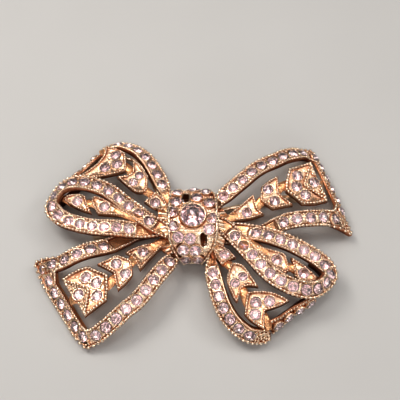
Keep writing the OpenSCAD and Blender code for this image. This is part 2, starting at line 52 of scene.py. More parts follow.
# The same tables as the solids have: out, side and height shares, lean in degrees, width share
OUTER_ROWS = [
    [0.135, 0.23, 0.66, 0, 0.35], [0.158, 0.31, 0.71, 5, 0.42], [0.18, 0.456, 0.76, 10, 0.9],
    [0.221, 0.62, 0.77, 17, 0.96], [0.275, 0.78, 0.735, 27, 1], [0.355, 0.912, 0.66, 36, 1],
    [0.465, 0.995, 0.54, 46, 1], [0.56, 0.99, 0.44, 52, 1], [0.622, 0.955, 0.37, 50, 1]]
TURN_ROWS = [
    [0.62, 0.895, 0.43, 72, 1.4], [0.68, 0.83, 0.44, 76, 1.25], [0.75, 0.735, 0.47, 80, 1.05],
    [0.83, 0.655, 0.5, 84, 1], [0.9, 0.575, 0.53, 84, 1]]
INNER_ROWS = [
    [0.13, -0.086, 0.72, 0, 0.6], [0.204, -0.03, 0.8, 2, 0.9], [0.305, 0.08, 0.82, 4, 1],
    [0.435, 0.252, 0.86, 6, 1], [0.575, 0.433, 0.95, 8, 1], [0.72, 0.53, 1.0, 10, 1],
    [0.825, 0.552, 0.985, 20, 1], [0.907, 0.52, 0.92, 36, 1], [0.966, 0.438, 0.86, 46, 1],
    [0.988, 0.347, 0.79, 28, 1], [0.949, 0.26, 0.75, 8, 1], [0.866, 0.18, 0.745, 0, 1],
    [0.704, 0.09, 0.8, 0, 1], [0.53, 0.038, 0.87, 5, 1], [0.357, 0.0, 0.72, 0, 0.95],
    [0.19, -0.03, 0.69, 0, 0.4]]
WIRE_ROWS = [
    [0.118, 0.195, 0.55], [0.175, 0.3, 0.47], [0.225, 0.44, 0.43], [0.266, 0.595, 0.4],
    [0.336, 0.78, 0.36], [0.43, 0.867, 0.3], [0.554, 0.915, 0.26]]
FOLD_ROWS = [
    [0.593, 0.871, 0.5], [0.65, 0.783, 0.52], [0.748, 0.664, 0.55], [0.861, 0.521, 0.6],
    [0.94, 0.44, 0.66], [0.96, 0.34, 0.62], [0.915, 0.252, 0.56], [0.85, 0.19, 0.57]]
LOOP_STEM = [
    [0.14, 0.12, 0.66], [0.25, 0.33, 0.69], [0.34, 0.44, 0.78], [0.4, 0.61, 0.79],
    [0.45, 0.73, 0.74], [0.55, 0.8, 0.68], [0.6, 0.93, 0.52]]
EYE_STEM = [
    [0.352, 0.097, 0.7], [0.48, 0.18, 0.74], [0.66, 0.31, 0.72], [0.8, 0.36, 0.7],
    [0.9, 0.42, 0.66]]
UPPER_ROWS = [
    [0.09, -0.02, 0.44, 0, 0.6], [0.21, -0.04, 0.46, 0, 0.9], [0.36, -0.02, 0.48, 0, 1],
    [0.44, 0.035, 0.53, 3, 1], [0.515, 0.095, 0.7, 8, 1], [0.575, 0.13, 0.87, 10, 1],
    [0.65, 0.155, 0.98, 10, 1], [0.735, 0.184, 0.95, 12, 1], [0.8, 0.212, 0.84, 16, 1],
    [0.85, 0.226, 0.74, 20, 1]]
END_ROWS = [[0.905, 0.42], [0.85, 0.585], [0.795, 0.75], [0.76, 0.855]]
UPPER_CORNER = [
    [[0.925, 0.147, 0.6], [0.86, 0.308, 0.79]], [[1.005, 0.14, 0.26], [0.867, 0.316, 0.78]]]
LOWER_CORNER = [[[0.72, 1.015, 0.225], [0.71, 0.865, 0.48]]]
LOWER_ROWS = [
    [0.645, 0.925, 0.54, 22, 1], [0.595, 0.888, 0.7, 15, 1], [0.528, 0.828, 0.82, 12, 1],
    [0.466, 0.758, 0.88, 10, 1], [0.394, 0.688, 0.9, 8, 1], [0.334, 0.605, 0.92, 8, 1],
    [0.28, 0.512, 0.9, 8, 1], [0.222, 0.42, 0.85, 8, 1], [0.172, 0.34, 0.75, 6, 0.95],
    [0.133, 0.262, 0.61, 3, 0.55], [0.1, 0.2, 0.5, 0, 0.5]]
TAIL_STEM = [
    [0.12, 0.07, 0.45], [0.22, 0.13, 0.5], [0.36, 0.24, 0.6], [0.42, 0.335, 0.74],
    [0.5, 0.44, 0.8], [0.57, 0.52, 0.8], [0.68, 0.56, 0.76], [0.76, 0.58, 0.6],
    [0.78, 0.583, 0.52]]
# Leaves: outline, stone places, height share, slope out and sideways, stone size share
LOOP_LEAVES = [
    [[[0.15, 0.17], [0.22, 0.18], [0.275, 0.225], [0.325, 0.29], [0.29, 0.32], [0.262, 0.345],
      [0.24, 0.385], [0.205, 0.335], [0.18, 0.3]], [[0.247, 0.269]], 0.78, 0.02, 0.02, 1],
    [[[0.3, 0.37], [0.36, 0.365], [0.4, 0.4], [0.45, 0.485], [0.5, 0.567], [0.425, 0.563],
      [0.385, 0.6], [0.378, 0.66], [0.37, 0.73], [0.345, 0.71], [0.294, 0.585], [0.276, 0.51]],
     [[0.387, 0.488], [0.339, 0.556]], 0.93, 0, -0.05, 0.84],
    [[[0.43, 0.63], [0.5, 0.605], [0.59, 0.6], [0.65, 0.622], [0.715, 0.66], [0.665, 0.71],
      [0.6, 0.755], [0.56, 0.775], [0.56, 0.86], [0.565, 0.94], [0.52, 0.92], [0.465, 0.88],
      [0.425, 0.83], [0.425, 0.73]],
     [[0.496, 0.822], [0.492, 0.713], [0.582, 0.687]], 0.85, -0.02, -0.1, 1]]
# The left loop's last leaf has a longer lobe
LAST = LOOP_LEAVES[2]
LEFT_LEAF = [LAST[0][:2] + [
    [0.59, 0.59], [0.68, 0.585], [0.8, 0.59], [0.72, 0.66], [0.655, 0.72], [0.61, 0.78],
    [0.57, 0.86]] + LAST[0][9:]] + LAST[1:]
EYE_LEAVES = [
    [[[0.45, 0.155], [0.51, 0.165], [0.59, 0.185], [0.66, 0.205], [0.685, 0.28], [0.7, 0.36],
      [0.675, 0.4], [0.61, 0.36], [0.53, 0.27]], [[0.61, 0.272]], 0.84, 0, 0, 1],
    [[[0.705, 0.23], [0.77, 0.265], [0.84, 0.33], [0.895, 0.4], [0.87, 0.445], [0.78, 0.45],
      [0.74, 0.41], [0.73, 0.31]], [[0.8, 0.372]], 0.8, 0, 0, 1]]
TAIL_LEAVES = [
    [[[0.19, 0.14], [0.21, 0.115], [0.33, 0.125], [0.432, 0.195], [0.395, 0.237], [0.375, 0.29],
      [0.354, 0.385], [0.275, 0.255]], [[0.325, 0.2]], 0.66, 0.12, -0.12, 1],
    [[[0.4, 0.3], [0.48, 0.235], [0.605, 0.3], [0.545, 0.36], [0.51, 0.405], [0.505, 0.47],
      [0.495, 0.575], [0.43, 0.5], [0.395, 0.43]],
     [[0.49, 0.317], [0.441, 0.425]], 0.93, -0.03, -0.03, 1],
    [[[0.55, 0.42], [0.615, 0.365], [0.66, 0.315], [0.74, 0.335], [0.82, 0.395], [0.78, 0.53],
      [0.73, 0.65], [0.7, 0.77], [0.64, 0.72], [0.565, 0.655], [0.55, 0.54]],
     [[0.619, 0.482], [0.678, 0.414], [0.619, 0.602], [0.73, 0.562]], 0.97, -0.16, 0.01, 1]]
LOOP_ROOT = [[0.04, -0.11], [0.04, 0.2], [0.135, 0.25], [0.17, 0.32], [0.2, 0.32], [0.235, 0.2],
             [0.24, 0.02], [0.2, -0.09]]
TAIL_ROOT = [[0.035, -0.07], [0.2, -0.08], [0.22, 0.16], [0.15, 0.26], [0.11, 0.26], [0.035, 0.2]]
LOOP_ROOT_HIGH, TAIL_ROOT_HIGH, ROOT_T = 0.7, 0.45, 0.9
# Folds of the ribbon near the knot, and the rows of beads that cross the tail's bud
LOOP_PLEATS = [
    [[0.1, -0.06], [0.215, -0.075]], [[0.1, -0.03], [0.235, -0.035]], [[0.1, 0.0], [0.24, 0.01]],
    [[0.1, 0.035], [0.238, 0.06]], [[0.1, 0.07], [0.236, 0.11]], [[0.1, 0.105], [0.232, 0.16]],
    [[0.1, 0.14], [0.226, 0.21]], [[0.1, 0.175], [0.215, 0.26]]]
TAIL_PLEATS = [
    [[0.08, -0.05], [0.2, -0.05]], [[0.08, -0.01], [0.21, 0.0]], [[0.08, 0.03], [0.215, 0.05]],
    [[0.08, 0.07], [0.218, 0.1]], [[0.08, 0.11], [0.215, 0.15]], [[0.08, 0.15], [0.19, 0.2]]]
BUD_ROWS = [
    [[0.81, 0.41], [0.735, 0.465], [0.665, 0.52], [0.683, 0.64], [0.7, 0.755]],
    [[0.785, 0.45], [0.765, 0.51]], [[0.72, 0.63], [0.7, 0.7]]]
KNOT_ROWS = [
    [0.8, 0.14, 0.34], [0.95, 0.24, 0.38], [1.0, 0.44, 0.43], [0.93, 0.66, 0.66],
    [0.71, 0.86, 0.92], [0.4, 0.965, 1.0], [0, 1.0, 1.0]]
KNOT_STONES = [
    [-0.8, 0.13], [0.78, -0.06], [-0.66, 0.43], [0.66, 0.39], [0.16, 0.57], [-0.62, 0.75],
    [0.52, 0.8], [0.04, 0.9], [-0.78, -0.27], [0.64, -0.36], [-0.57, -0.55], [-0.1, -0.59],
    [-0.37, -0.83], [0.1, -0.84], [-0.27, -0.985], [0.19, -0.985]]
KNOT_SLOTS = [[[0.42, -0.52], [0.44, -0.7], 0.16], [[-0.3, 0.5], [-0.28, 0.66], 0.16]]
# Stone runs: from and to, as shares of a band's length
OUTER_RUNS, TURN_RUNS = [(0.21, 0.82)], [(0.13, 0.87)]
INNER_RUNS = [(0.109, 0.433), (0.475, 0.558), (0.6, 0.867)]
TAIL_RUNS = [[(0.55, 0.93)], [(0.165, 0.95)], [(0.086, 0.855)]]

# Smoothing steps between two rows
FINE = 8
# Rows of beads: pitch and radius
COARSE, MEDIUM, THIN, BOLD = (0.74, 0.36), (0.64, 0.31), (0.52, 0.25), (0.66, 0.35)
# Radius of a small stone and of one on the knot, and the dark gap round a stone
STONE_R, KNOT_R, GAP = 1.0, 1.06, 0.12
# Turn of the centre stone about its axis, in radians
CENTRE_SPIN = atan(0.27)
# Small stone in the left tail's corner: its share of a full one, and its place on the end band
CORNER_SHARE, CORNER_RUN, CORNER_SIDE = 0.82, 0.65, 0.40
# Heights over a band's line: beaded and plain rails, the plate at the rails, the seats' lips
RAIL_BEADED, RAIL_PLAIN, PLATE_LEVEL, LIP_LEVEL = -0.1, 0.06, -0.36, -0.14
# Height of a leaf's rim over its plate, and the steps of the nets of points inside the plates
RIM, BAND_STEP, LEAF_STEP, KNOT_STEP = 0.04, 0.36, 0.24, 0.3
# Points round a small setting, and how far the claws on the bands are turned
ROUND, CLAW_TURN = 18, 0.7
# The strap's plate ends at this share of the knot's half width
STRAP_SHARE = 0.87
# Angles in degrees over which an edge is sharp, for castings and for cut stones
CAST_SHARP, CUT_SHARP = 52, 5
EAST, UP = np.array([1.0, 0, 0]), np.array([0, 0, 1.0])
# Middle of the bow's outline, seen from the knot's axis
LOOP_TURN, TAIL_TURN = radians(LOOP_DROOP), radians(TAIL_DROOP)
TOP = 0.995 * LOOP_RISE * cos(LOOP_TURN) - 0.465 * LOOP_REACH * sin(LOOP_TURN) + 0.35 * BAND_W
BOTTOM = -1.015 * TAIL_DROP * cos(TAIL_TURN) - 0.72 * TAIL_REACH * sin(TAIL_TURN)
BOW_MID = 0.14 * TAIL_DROP * sin(TAIL_TURN), (TOP + BOTTOM) / 2
# Millimetres for each share out, to the side and up, in a left loop and a left tail
LOOP = np.array([-LOOP_REACH, LOOP_RISE, LOOP_HEIGHT])
TAIL = np.array([-TAIL_REACH, -TAIL_DROP, TAIL_HEIGHT])


def unit(v):
    return v / np.maximum(np.linalg.norm(v, axis=-1, keepdims=True), 1e-9)


def square_to(v, up):
    """Unit vector at right angles to up, as near to v as can be."""
    return unit(v - up * (v @ up))


def angles(n):
    return np.linspace(0, 2 * pi, n, endpoint=False)


def spokes(side, up, n, start=0.0):
    """Directions round an axis, from an angle to side on."""
    a = angles(n)[:, None] + start
    return np.cos(a) * side + np.sin(a) * np.cross(up, side)


def headings(points):
    return np.vstack([points[1] - points[0], points[2:] - points[:-2], points[-1] - points[-2]])


def left_of(ahead):
    """Unit vectors to the left of flat directions."""
    return unit(np.stack([-ahead[:, 1], ahead[:, 0]], 1))


def running(points):
    """Length of a line up to each of its points."""
    return np.concatenate([[0], np.cumsum(np.linalg.norm(np.diff(points, axis=0), axis=1))])


def lattice(a, b):
    """All points of a flat grid, from its places along and across."""
    return np.stack([g.ravel() for g in np.meshgrid(a, b)], 1)


def nearest(points, spots):
    """Distance from each point to the nearest spot."""
    return np.linalg.norm(points[:, None] - spots, axis=2).min(1)


def smooth(rows, steps):
    """Smooth curve through the rows of a table."""
    rows, out = np.array(rows, float), []
    last = len(rows) - 1
    for i in range(last):
        p0, p1, p2, p3 = rows[max(i - 1, 0)], rows[i], rows[i + 1], rows[min(i + 2, last)]
        for k in range(steps):
            t = k / steps
            out.append(0.5 * (2 * p1 + (p2 - p0) * t + (2 * p0 - 5 * p1 + 4 * p2 - p3) * t * t
                              + (3 * p1 - p0 - 3 * p2 + p3) * t ** 3))
    out.append(rows[-1])
    return np.array(out)


def spread(x, w):
    """Place across a band of width share w; a wider band keeps its rails' width."""
    hw, inner = BAND_W / 2, BAND_W / 2 - RAIL_W
    wide = np.where(np.abs(x) > inner, x + np.sign(x) * hw * (w - 1), x * (hw * w - RAIL_W) / inner)
    return np.where(w > 1, wide, x * w)


class Chain:
    """Frames along a band: place, side, normal and width share."""

    def __init__(self, points, sides, ups, widths):
        self.points, self.sides, self.ups = map(np.array, (points, sides, ups))
        self.widths = np.array(widths, float)
        self.run = running(self.points)
        self.length = self.run[-1]

    def at(self, s):
        s = np.atleast_1d(np.asarray(s, float))
        pick = [np.stack([np.interp(s, self.run, a[:, k]) for k in range(3)], 1)
                for a in (self.points, self.sides, self.ups)]
        return pick[0], unit(pick[1]), unit(pick[2]), np.interp(s, self.run, self.widths)

    def spot(self, s):
        """Place, side, normal and width share at one run."""
        return [v[0] for v in self.at(s)]

    def place(self, s, x, h):
        """Points at run s, x to the side at full width, and h over the rails' line."""
        p, side, up, w = self.at(s)
        x, h = np.broadcast_to(x, w.shape), np.broadcast_to(h, w.shape)
        return p + side * spread(x, w)[:, None] + up * h[:, None]

    def sweep(self, across, h):
        """Rings of a section along the chain, from its places across and its heights."""
        return (self.points[:, None] + self.sides[:, None] * across[..., None]
                + self.ups[:, None] * h[:, None])


def frames(points, leans, widths):
    points = np.array(points, float)
    ahead = headings(points)
    level = unit(np.cross(ahead, UP))
    up = unit(np.cross(level, ahead))
    c, s = np.cos(np.radians(leans))[:, None], np.sin(np.radians(leans))[:, None]
    return Chain(points, level * c - up * s, up * c + level * s, widths)


def band_frames(rows, scale, steps=FINE):
    table = smooth(np.array(rows) * [*scale, 1, 1], steps)
    return frames(table[:, :3], table[:, 3], table[:, 4])


def join(parts):
    return Chain(*[np.concatenate([getattr(p, k) for p in parts])
                   for k in ("points", "sides", "ups", "widths")])


def mitre(cut, before, after):
    tip, inner = np.array(cut) * TAIL
    side = unit(tip - inner)
    return Chain([(tip + inner) / 2], [side], [square_to(before + after, side)],
                 [np.linalg.norm(tip - inner) / BAND_W])


def tail_bands(lean, steps=FINE):
    high = 0.5 * BAND_W * sin(radians(lean)) + BAND_T * cos(radians(lean))
    upper = band_frames(UPPER_ROWS, TAIL, steps)
    lower = band_frames(LOWER_ROWS, TAIL, steps)
    places = [[*(row * TAIL[:2]), high] for row in END_ROWS]
    end = frames(places, [lean] * len(places), [1] * len(places))
    near = [mitre(cut, upper.ups[-1], end.ups[0]) for cut in UPPER_CORNER]
    far = [mitre(cut, end.ups[-1], lower.ups[0]) for cut in LOWER_CORNER]
    return [join([upper, *near]), join([near[-1], end, far[0]]), join([*far, lower])]


def stone_runs(chain, coarse, runs):
    """Places of stones along a chain, as many as on the solids' coarser chain."""
    return [np.linspace(a, b, round((b - a) * coarse.length / STONE_PITCH) + 1) * chain.length
            for a, b in runs]


class Shape:
    """Collects the points and faces of one piece, with its painted shade and painted orange light
    at each point.
    """

    def __init__(self):
        self.points, self.faces, self.tone, self.warm, self.slots = [], [], [], [], []
        self.count = 0

    def add(self, points, faces, tone=0.0, warm=0.0, slots=None):
        points = points.reshape(-1, 3)
        self.points.append(points)
        self.tone.append(np.broadcast_to(tone, len(points)))
        self.warm.append(np.broadcast_to(warm, len(points)))
        self.faces += [tuple(int(i) + self.count for i in f) for f in faces]
        self.slots += slots or [0] * len(faces)
        self.count += len(points)

    def grid(self, rings, closed=True, tone=0.0, caps=(False, False), warm=0.0):
        """Skin over rings of points, an array of rings by points by three."""
        m, n = rings.shape[:2]
        span = n if closed else n - 1
        faces = [(i * n + j, i * n + (j + 1) % n, (i + 1) * n + (j + 1) % n, (i + 1) * n + j)
                 for i in range(m - 1) for j in range(span)]
        if caps[0]:
            faces.append(tuple(range(n - 1, -1, -1)))
        if caps[1]:
            faces.append(tuple((m - 1) * n + j for j in range(n)))
        self.add(rings, faces, np.broadcast_to(tone, (m, n)).reshape(-1), warm)


def linked(name, data):
    obj = bpy.data.objects.new(name, data)
    scene.collection.objects.link(obj)
    return obj


# ---- small parts
def ball(rings, sides):
    """Points and faces of a unit ball."""
    turn, tilt = lattice(angles(sides), pi * np.arange(1, rings) / rings).T
    points = np.stack([np.sin(tilt) * np.cos(turn), np.sin(tilt) * np.sin(turn), np.cos(tilt)], 1)
    points = np.vstack([UP, points, -UP])
    faces = [(0, 1 + j, 1 + (j + 1) % sides) for j in range(sides)]
    for i in range(rings - 2):
        a = 1 + i * sides
        faces += [(a + j, a + sides + j, a + sides + (j + 1) % sides, a + (j + 1) % sides)
                  for j in range(sides)]
    last, a = len(points) - 1, 1 + (rings - 2) * sides
    faces += [(last, a + (j + 1) % sides, a + j) for j in range(sides)]
    return points, faces


BALL = ball(4, 8)


def beads(shape, places, r, tone, ups):
    """Small balls with painted shade, light on their upper side and darker towards the metal below.
    """
    points, faces = BALL
    ups = np.broadcast_to(ups, np.shape(places))
    for p, size, up in zip(places, np.broadcast_to(r, len(places)), ups):
        shape.add(points * size + p, faces, np.interp(points @ up, [-0.35, 0.5], [1.0, tone]))


def bead_line(shape, line, lift, style, clear, room):
    """Row of beads along a line seen from above, clear of stones; lift gives its heights."""
    pitch, r = style
    run = running(line)
    count = max(int(round(run[-1] / pitch)), 1)
    where = (np.arange(count) + 0.5) * run[-1] / count
    flat = np.column_stack([np.interp(where, run, line[:, k]) for k in (0, 1)])
    flat = flat[nearest(flat, clear) > room]
    beads(shape, np.column_stack([flat, lift(flat)]), r, 0.0, UP)


def lathe(shape, centre, side, up, n, section, order=1):
    """Skin of a section turned about an axis; its rows are radius, height and painted shade."""
    out = spokes(side, up, n)[::order]
    rings = np.stack([centre + out * r + up * h for r, h, _ in section])
    shape.grid(rings, True, np.array(section)[:, 2:], (False, True))


def tube(shape, points, r, tone=0.0, sides=10, squash=1.0):
    """Closed wire along a line of points; a squashed one is a stem with painted orange light."""
    points = np.array(points, float)
    ahead = unit(np.gradient(points, axis=0))
    level = unit(np.cross(ahead, UP))
    b, r = angles(sides)[:, None], np.broadcast_to(r, len(points))[:, None, None]
    rings = points[:, None] + r * (level[:, None] * np.cos(b)
                                   + np.cross(level, ahead)[:, None] * squash * np.sin(b))
    shape.grid(rings, True, tone, (True, True), 0.7 if squash < 1 else 0.0)


def fill(outline, holes, inside):
    """Triangles inside an outline and outside its holes, through points that lie inside."""
    points, edges = [], []
    for lp in [outline, *holes]:
        base = len(points)
        points += [Vector(p) for p in lp]
        edges += [(base + i, base + (i + 1) % len(lp)) for i in range(len(lp))]
    points += [Vector(p) for p in inside]
    verts, _, faces = delaunay_2d_cdt(points, edges, [], 0, 1e-6)[:3]
    verts = np.array([v[:] for v in verts])
    faces = np.array([f for f in faces if len(f) == 3])
    mid = verts[faces].mean(1)
    keep = within(mid, outline)
    for h in holes:
        keep &= ~within(mid, h)
    return verts, faces[keep]


def within(points, outline):
    a, b = outline, np.roll(outline, -1, 0)
    x, y = points[:, 0:1], points[:, 1:2]
    spans = (a[:, 1] > y) != (b[:, 1] > y)
    with np.errstate(divide="ignore", invalid="ignore"):
        at = (b[:, 0] - a[:, 0]) * (y - a[:, 1]) / (b[:, 1] - a[:, 1]) + a[:, 0]
    return (spans & (x < at)).sum(1) % 2 == 1


def far_from(points, outline):
    """Distance of each point from an outline."""
    a, ab = outline, np.roll(outline, -1, 0) - outline
    t = ((points[:, None] - a) * ab).sum(2) / np.maximum((ab ** 2).sum(1), 1e-12)
    near = a + np.clip(t, 0, 1)[..., None] * ab
    return np.linalg.norm(points[:, None] - near, axis=2).min(1)


def clear_of(points, outlines, room):
    """Points outside all the outlines, with room to spare."""
    for lp in outlines:
        points = points[~within(points, lp)]
        points = points[far_from(points, lp) > room]
    return points


def circle(centre, r, n=ROUND, w=1.0):
    """Outline that is a circle once it lies on a strap of width share w."""
    a = angles(n)
    return centre + r * np.stack([np.cos(a), np.sin(a) / w], 1)


def strip(runs, half):
    """Outline of a straight strip, from places along it and its half width."""
    edge = np.stack([runs, np.full(len(runs), half)], 1)
    return np.vstack([edge * [1, -1], edge[::-1]])


# ---- stones
def brilliant(shape, centre, side, up, d, spin, crown=0.17, pavilion=0.36):
    """Round brilliant cut with star, kite and girdle facets; slot 0 is glass, slot 1 its foil.

    Crown and pavilion are its heights over and under the girdle, as shares of its width."""
    r, table, half = d / 2, 0.28 * d, cos(pi / 8)
    star, low, skirt = 0.80 * r, 0.34 * r, 0.03 * d
    star_h = crown * d * (r - star * half) / (r - table)
    low_h = -skirt - pavilion * d * (1 - low * half / r)

    def level(n, radius, h, start=0.0):
        return centre + spokes(side, up, n, start + spin) * radius + up * h
    points = np.vstack([level(8, table, crown * d), level(8, star, star_h, pi / 8), level(16, r, 0),
                        level(16, r, -skirt), level(8, low, low_h, pi / 8),
                        level(1, 0, -skirt - pavilion * d)])
    # The table comes first, then the stars, upper and lower girdle, lower facets and the tip
    m, g, b, lo, tip = 8, 16, 32, 48, 56
    top, under = [tuple(range(8))], []
    for k in range(8):
        n, p, e, f = (k + 1) % 8, (k - 1) % 8, 2 * k, (2 * k + 2) % 16
        top += [(k, m + k, n), (k, m + p, g + e, m + k), (m + k, g + e, g + e + 1),
                (m + k, g + e + 1, g + f)]
        under += [(lo + k, b + e + 1, b + e), (lo + k, b + f, b + e + 1),
                  (tip, lo + k, b + e, lo + p)]
    top += [(g + k, b + k, b + (k + 1) % 16, g + (k + 1) % 16) for k in range(16)]
    shape.add(points, top + under, slots=[0] * len(top) + [1] * len(under))


def set_by_hand(shape, p, side, up, share, rng, raised=0.0):
    """Small stone that sits a little off its frame, as stones set by hand do."""
    tilt = rng.normal(0, 0.06, 2)
    up = unit(up + side * tilt[0] + np.cross(up, side) * tilt[1])
    brilliant(shape, p + up * raised, square_to(side, up), up, 2 * STONE_R * share,
              rng.uniform(0, pi / 4))


def seat(shape, centre, side, up, share=1.0):
    """Collar and wire round a stone, and the wall of its seat."""
    r = STONE_R * share
    # Painted shade: the seat's wall is painted darkest, the collar's top lighter
    lathe(shape, centre, side, up, ROUND, [
        (r + GAP + 0.32, -0.46, 0.7), (r + GAP, -0.1, 0.3), (r + 0.5 * GAP, -0.3, 1),
        (r + 0.02, -0.4675, 1), (0.4 * r, -0.95, 1)], -1)
    b = angles(6)[:, None]
    rings = (centre + spokes(side, up, ROUND)[:, None] * (r + GAP + 0.03 + 0.07 * np.cos(b))
             + up * (0.07 * np.sin(b) - 0.07))
    shape.grid(np.concatenate([rings, rings[:1]]))


def cup(shape, p, side, up, top, spin, foot=0.32, r=STONE_R, lip=0.2):
    """Round setting that stands on a surface, with four small claws."""
    # Painted shade: the foot and the inside of the cup are painted darkest, its lip light
    lathe(shape, p, side, up, 20, [
        (r + foot, -0.4, 1), (r + 1.25 * lip, top - 0.16, 0.45), (r + lip, top - 0.02, 0),
        (r + 0.5 * lip, top - 0.02, 0.3), (r + 0.04, -0.2, 1), (0.3 * r, -0.75, 1)])
    claws = p + spokes(side, up, 4, spin) * (r + 0.12) + up * (top + 0.02)
    beads(shape, claws, 0.16, 0.0, up)


# ---- bands
def rail_profile(top, thick):
    """Half of a band's section, from the plate over the rail to the middle of the back."""
    hw, r = BAND_W / 2, RAIL_W / 2
    arc = [(hw - r + r * cos(a), -r + top + r * sin(a))
           for a in np.radians([180, 150, 115, 90, 65, 30, 0])]
    return [(hw - RAIL_W, PLATE_LEVEL)] + arc + [(hw, -thick + 0.2), (hw - 0.2, -thick)]


def round_end(chain, reach):
    """The same chain with its far end narrowed to a round tip."""
    s = np.concatenate([chain.run[chain.run < chain.length - reach],
                        np.linspace(chain.length - reach, chain.length, 9)])
    p, side, up, w = chain.at(s)
    left = np.clip((chain.length - s) / reach, 0, 1)
    return Chain(p, side, up, w * np.maximum(np.sqrt(1 - (1 - left) ** 2), 0.15))


def band(shape, glass, rng, chain, stones, styles, raised, thick, grains, painted_orange_amount=0.0, keep=()):
    """Rails with rows of beads, and a plate between them that is pierced by the stones' seats.

    Raised stones stand in cups, grains fill bare ends between two shares of the length and clear
    of the stones to keep, and an argument sets the painted orange light on the inner side of the
    first rail."""
    hw, inner, length = BAND_W / 2, BAND_W / 2 - RAIL_W, chain.length
    left, right = (rail_profile(RAIL_BEADED if style else RAIL_PLAIN, thick) for style in styles)
    x, h = np.array(right + [(-a, b) for a, b in left[::-1]]).T
    # Painted shade over the section: darkest at the rails' inner feet, darker down the rails'
    # sides, lighter on the back, and a middling painted shade on the end caps; painted orange light
    # lightens the first rail's lower side
    tone = np.where(h > -0.2, 0.35, np.where(h > -0.4, 0.65, 0.9))
    tone[[0, -1]] = 1.0
    tone = np.where(h < 0.01 - thick, 0.4, tone)
    rings = chain.sweep(spread(x, chain.widths[:, None]), h)
    warm = np.where((h < -0.4) & (x < 0), painted_orange_amount, 0.0)
    shape.grid(rings, False, tone * (1 - 0.6 * warm), warm=np.tile(warm, len(rings)))
    for end, order in ((0, 1), (-1, -1)):
        shape.add(rings[end], [tuple(range(len(x)))[::order]], 0.5)

    # The plate: a net of points clear of the seats, with small ridges half way between stones
    s = np.concatenate(stones)
    mids = np.concatenate([[run[0] - STONE_PITCH / 2, *(run[1:] + run[:-1]) / 2,
                            run[-1] + STONE_PITCH / 2] for run in stones])
    runs = np.append(np.arange(0, length - 0.1, BAND_STEP), length)
    centres, seat_r = np.stack([s, 0 * s], 1), STONE_R + GAP
    holes = [circle(c, seat_r) for c in centres]
    for hole in holes:
        hole[:, 1] /= np.maximum((hw * chain.at(hole[:, 0])[3] - RAIL_W) / inner, 1)
    inside = lattice(np.concatenate([runs[1:-1], mids, mids - 0.3, mids + 0.3]),
                     np.linspace(-inner, inner, 9)[1:-1])
    inside = inside[(inside[:, 0] > 0.1) & (inside[:, 0] < length - 0.1)]
    inside = inside[nearest(inside, centres) > seat_r + 0.03]
    flat, faces = fill(strip(runs, inner), holes, inside)
    across, gap = np.abs(flat[:, 1]) / inner, nearest(flat, centres)
    at_rail, at_seat = across > 0.98, gap < seat_r + 0.02
    plain = np.clip((gap - 1.7) / 0.6, 0, 1)
    ridge = np.exp(-(np.abs(flat[:, 0:1] - mids).min(1) / 0.34) ** 2)
    height = -0.34 - 0.16 * (1 - across ** 2) * plain + 0.24 * ridge * (1 - plain)
    height = np.where(at_seat, LIP_LEVEL, np.where(at_rail, PLATE_LEVEL, height))
    # Painted shade on the plate: darker where it lies low, darkest at the foot of the rails,
    # lighter on the ridges and the seats' lips; its plain stretches get little painted shade and
    # get painted orange light
    tone = np.where(at_seat, 0.35, np.interp(height, [-0.34, -0.2], [0.85, 0.1]))
    tone = np.where(at_rail, 0.9, tone * (1 - plain) + 0.05 * plain)
    shape.add(chain.place(*flat.T, height), faces[:, ::-1], tone, 0.7 * plain)

    for sign, style in zip((-1, 1), styles):
        if style:
            pitch, r = style
            count = int(length / pitch)
            where = (np.arange(count) + 0.5) * length / count
            out = hw - RAIL_W / 2 + (0.06 if style is COARSE else 0)
            beads(shape, chain.place(where, sign * out, -0.12), r, 0.0, chain.at(where)[2])
    for c in s:
        p, side, up, _ = chain.spot(c)
        if raised:
            cup(shape, p, side, up, raised, CLAW_TURN)
        else:
            seat(shape, p, side, up)
        set_by_hand(glass, p, side, up, 1.0, rng, raised)
    if grains:
        jitter = np.random.default_rng(3)
        bare = np.concatenate([np.arange(0.4, s.min() - 1.3, 0.5),
                               np.arange(s.max() + 1.4, length, 0.5)])
        rows = np.linspace(-0.75, 0.75, 7) * inner
        spots = np.array([(c, x) for k, c in enumerate(bare) for x in rows[k % 2::2]])
        share = spots[:, 0] / length
        spots = spots[(share > grains[0]) & (share < grains[1])]
        spots += jitter.uniform(-0.12, 0.12, spots.shape)
        places = chain.place(*spots.T, -0.30 + jitter.uniform(-0.06, 0.06, len(spots)))
        ups = chain.at(spots[:, 0])[2]
        for p in keep:
            free = np.linalg.norm(places - p, axis=1) > CORNER_SHARE * STONE_R + 0.38
            places, ups = places[free], ups[free]
        beads(shape, places, 0.33, 0.1, ups)
    if not raised:
        # Two grains hold each pair of neighbours
        where = np.repeat(mids, 2)
        places = chain.place(where, np.tile([-0.86, 0.86], len(mids)), -0.04)
        beads(shape, places, 0.25, 0.05, chain.at(where)[2])


# ---- leaves
def cross(a, b):
    return a[:, 0] * b[:, 1] - a[:, 1] * b[:, 0]


def runs_left(outline):
    return cross(outline, np.roll(outline, -1, 0)).sum() > 0


def soft_outline(points, corner=40, rounds=3):
    """Polygon with its corners cut again and again, apart from its sharp tips."""
    points = np.array(points, float)
    for _ in range(rounds):
        before, after = points - np.roll(points, 1, 0), np.roll(points, -1, 0) - points
        turn = np.degrees(np.abs(np.arctan2(cross(before, after), (before * after).sum(1))))
        out = []
        for p, back, ahead, sharp in zip(points, before, after, turn > corner):
            out += [p] if sharp else [p - 0.25 * back, p + 0.25 * ahead]
        points = np.array(out)
    return points


def even_outline(outline, step=0.3):
    """Closed outline with long edges divided and very short ones joined."""
    out = []
    for p, q in zip(outline, np.roll(outline, -1, 0)):
        if out and np.linalg.norm(p - out[-1]) < 0.06:
            continue
        out.append(p)
        count = int(np.linalg.norm(q - p) / step)
        out += [p + (q - p) * k / (count + 1) for k in range(1, count + 1)]
    return np.array(out)


